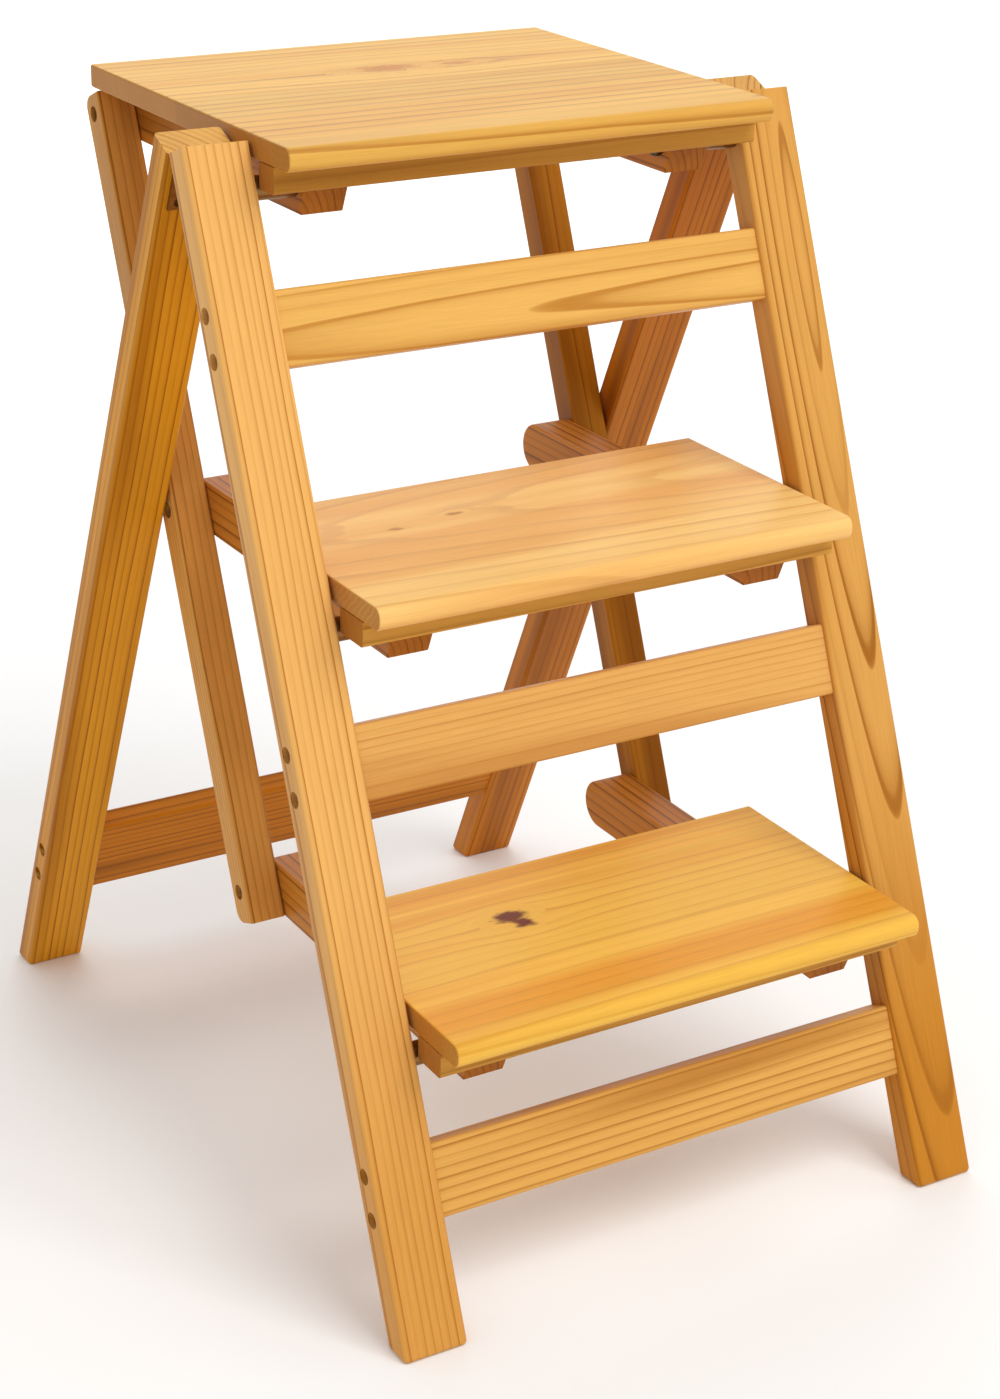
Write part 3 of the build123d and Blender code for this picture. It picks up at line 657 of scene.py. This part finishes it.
# %% Measure the CAD screws
SAME_PLACE = 0.01 * MM
SORT_DIGITS = 4
HEAD_EDGE = 0.95
TIP_REACH = 0.1 * MM


def loose_groups(node):
    work = bmesh.new()
    work.from_mesh(nodes[node].data)
    bmesh.ops.remove_doubles(work, verts=work.verts, dist=SAME_PLACE)
    left = set(work.verts)
    groups = []
    while left:
        edge_of_group = [left.pop()]
        group = []
        while edge_of_group:
            vert = edge_of_group.pop()
            group.append(vert.co.copy())
            others = {edge.other_vert(vert) for edge in vert.link_edges} & left
            left -= others
            edge_of_group += others
        groups.append(group)
    work.free()
    groups.sort(key=lambda group: [round(c, SORT_DIGITS) for c in sum(group, Vector()) / len(group)])
    return groups


def measure_screw(group, axis):
    centre = sum(group, Vector()) / len(group)
    heights = [(point - centre).dot(axis) for point in group]
    radii = [((point - centre) - axis * height).length for point, height in zip(group, heights)]
    widest = max(radii)
    head = [height for height, radius in zip(heights, radii) if radius > HEAD_EDGE * widest]
    up = 1 if max(heights) - max(head) < min(head) - min(heights) else -1
    seat = min(head) if up > 0 else max(head)
    tip = min(heights) if up > 0 else max(heights)
    shank = max(radius for height, radius in zip(heights, radii) if abs(height - tip) < TIP_REACH)
    return {"seat": centre + axis * seat, "drive": axis * up, "Head Radius": widest,
            "Head Height": max(head) - min(head), "Shank Radius": shank, "Shank Length": abs(seat - tip)}


rail_screw = measure_screw(loose_groups("front_rail_screws")[0], ACROSS)
print("rail screw head", round(rail_screw["Head Radius"] / MM, 2), "mm")

# %% [markdown]
# A modifier runs the tree on a mesh that has only points. It could stay live, but it is evaluated once and
# the result kept as a plain mesh, so that nothing is left to compute when the stool is posed or exported.

# %% Run the tree
def screw_points(node, found):
    cloud = bpy.data.meshes.new(node + "_points")
    cloud.from_pydata([screw["seat"] for screw in found], [], [])
    drive = cloud.attributes.new("drive", "FLOAT_VECTOR", "POINT")
    for entry, screw in zip(drive.data, found):
        entry.vector = screw["drive"]
    points = bpy.data.objects.new(node + "_points", cloud)
    bpy.context.scene.collection.objects.link(points)
    return points


def screws_on(points, sizes):
    modifier = points.modifiers.new("socket_screws", "NODES")
    modifier.node_group = screws
    for name in SCREW_INPUTS:
        modifier[socket_ids[name]] = sizes[name]
    modifier[socket_ids["Finish"]] = dark_bronze
    evaluated = points.evaluated_get(bpy.context.evaluated_depsgraph_get())
    return bpy.data.meshes.new_from_object(evaluated)


print("inputs of the tree", sorted(socket_ids))

# %% [markdown]
# Each set of screws becomes one mesh for the body that it rides on, and takes the place of its CAD node.
# Most screws lie across the stool, and those of the battens stand square to the tread above them. The rim
# and the socket are shares of the head, as on screws of any size.

# %% Make the screws
RIM_SHARE = 0.16
SOCKET_SHARE = 0.5
DEPTH_SHARE = 0.6
screw_axes = {node: ACROSS for node in ("front_rail_screws", "rear_rail_screws", "tread_pivot_screws")}
for word in ("top", "middle", "bottom"):
    screw_axes["link_screws_" + word] = ACROSS
    screw_axes["batten_screws_" + word] = grain_axes("tread_board_" + word, True)[1]
for node, axis in screw_axes.items():
    found = [measure_screw(group, axis) for group in loose_groups(node)]
    sizes = dict(found[0])
    sizes["Rim"] = RIM_SHARE * sizes["Head Height"]
    sizes["Socket Radius"] = SOCKET_SHARE * sizes["Head Radius"]
    sizes["Socket Depth"] = DEPTH_SHARE * sizes["Head Height"]
    points = screw_points(node, found)
    made = bpy.data.objects.new("made_" + node, screws_on(points, sizes))
    bpy.data.objects.remove(points)
    bpy.context.scene.collection.objects.link(made)
    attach(made, nodes[node]["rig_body"])
    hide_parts(node)
    print(made.name, len(found), "screws", len(made.data.polygons), "faces")

# %% [markdown]
# The floor is a wide sheet of matt white paper, as in a small photo studio. It is one flat face, large
# enough that its edge stays far off.

# %% Paper floor
FLOOR_REACH = 8.0
PAPER_ROUGHNESS = 0.9
PAPER_SHINE = 0.2
corners = [(x * FLOOR_REACH, y * FLOOR_REACH, 0) for x, y in ((-1, -1), (1, -1), (1, 1), (-1, 1))]
floor_mesh = bpy.data.meshes.new("studio_floor")
floor_mesh.from_pydata(corners, [], [(0, 1, 2, 3)])
floor = bpy.data.objects.new("studio_floor", floor_mesh)
bpy.context.scene.collection.objects.link(floor)
paper, paper_tree = new_material("white_paper")
paper_shader = add(paper_tree, "ShaderNodeBsdfPrincipled", {"Base Color": linear("#f8f8f7"),
                                                            "Roughness": PAPER_ROUGHNESS,
                                                            "Specular IOR Level": PAPER_SHINE})
add(paper_tree, "ShaderNodeOutputMaterial", {"Surface": paper_shader})
floor_mesh.materials.append(paper)
print("floor", 2 * FLOOR_REACH, "m wide")

# %% [markdown]
# White surroundings fill the shadows, one large soft light high in front gives the rounded edges their
# shine, and one over the paper behind keeps it pale. A sun lamp would throw hard shadows that soft studio
# light doesn't have. The Standard view keeps the amber of the varnish as warm as it is.

# %% Surroundings and light
SURROUND_STRENGTH = 0.72
world = bpy.data.worlds.new("white_surroundings")
world.use_nodes = True
world.node_tree.nodes["Background"].inputs["Color"].default_value = linear("#ffffff")
world.node_tree.nodes["Background"].inputs["Strength"].default_value = SURROUND_STRENGTH
bpy.context.scene.world = world
bpy.context.scene.view_settings.view_transform = "Standard"


def softbox(name, place, target, size, power):
    light = bpy.data.lights.new(name, "AREA")
    light.size = size
    light.energy = power
    lamp = bpy.data.objects.new(name, light)
    lamp.location = place
    lamp.rotation_euler = (Vector(target) - Vector(place)).to_track_quat("-Z", "Y").to_euler()
    bpy.context.scene.collection.objects.link(lamp)


softbox("softbox_above_front", place=(0.5, -1.9, 2.5), target=(0, 0, 0.3), size=1.6, power=40)
softbox("softbox_over_paper", place=(1.5, 4.5, 3.5), target=(1.8, 5.0, 0), size=4.0, power=150)

# %% [markdown]
# The camera stands where the photo was taken from. It could be set by eye, but then the legs would lean
# differently. So its place, pitch, turn and focal length were solved from the corners of the legs and rails
# in the photo, which is 1000 by 1399 pixels.

# %% Camera
PHOTO_HEIGHT = 1399
FOCAL_PIXELS = 2739.1
CAMERA_PLACE = Vector((-0.8008, -1.4118, 0.9003))
CAMERA_PITCH = math.radians(21.6305)
CAMERA_TURN = math.radians(-30.5397)
camera_data = bpy.data.cameras.new("photo_camera")
camera_data.lens = FOCAL_PIXELS * camera_data.sensor_width / PHOTO_HEIGHT
camera = bpy.data.objects.new("photo_camera", camera_data)
bpy.context.scene.collection.objects.link(camera)
level = math.cos(CAMERA_PITCH)
backwards = Vector((math.sin(CAMERA_TURN) * level, -math.cos(CAMERA_TURN) * level, math.sin(CAMERA_PITCH)))
camera.location = CAMERA_PLACE
camera.rotation_euler = (-backwards).to_track_quat("-Z", "Y").to_euler()
bpy.context.scene.camera = camera
print("lens", round(camera_data.lens, 2), "mm")
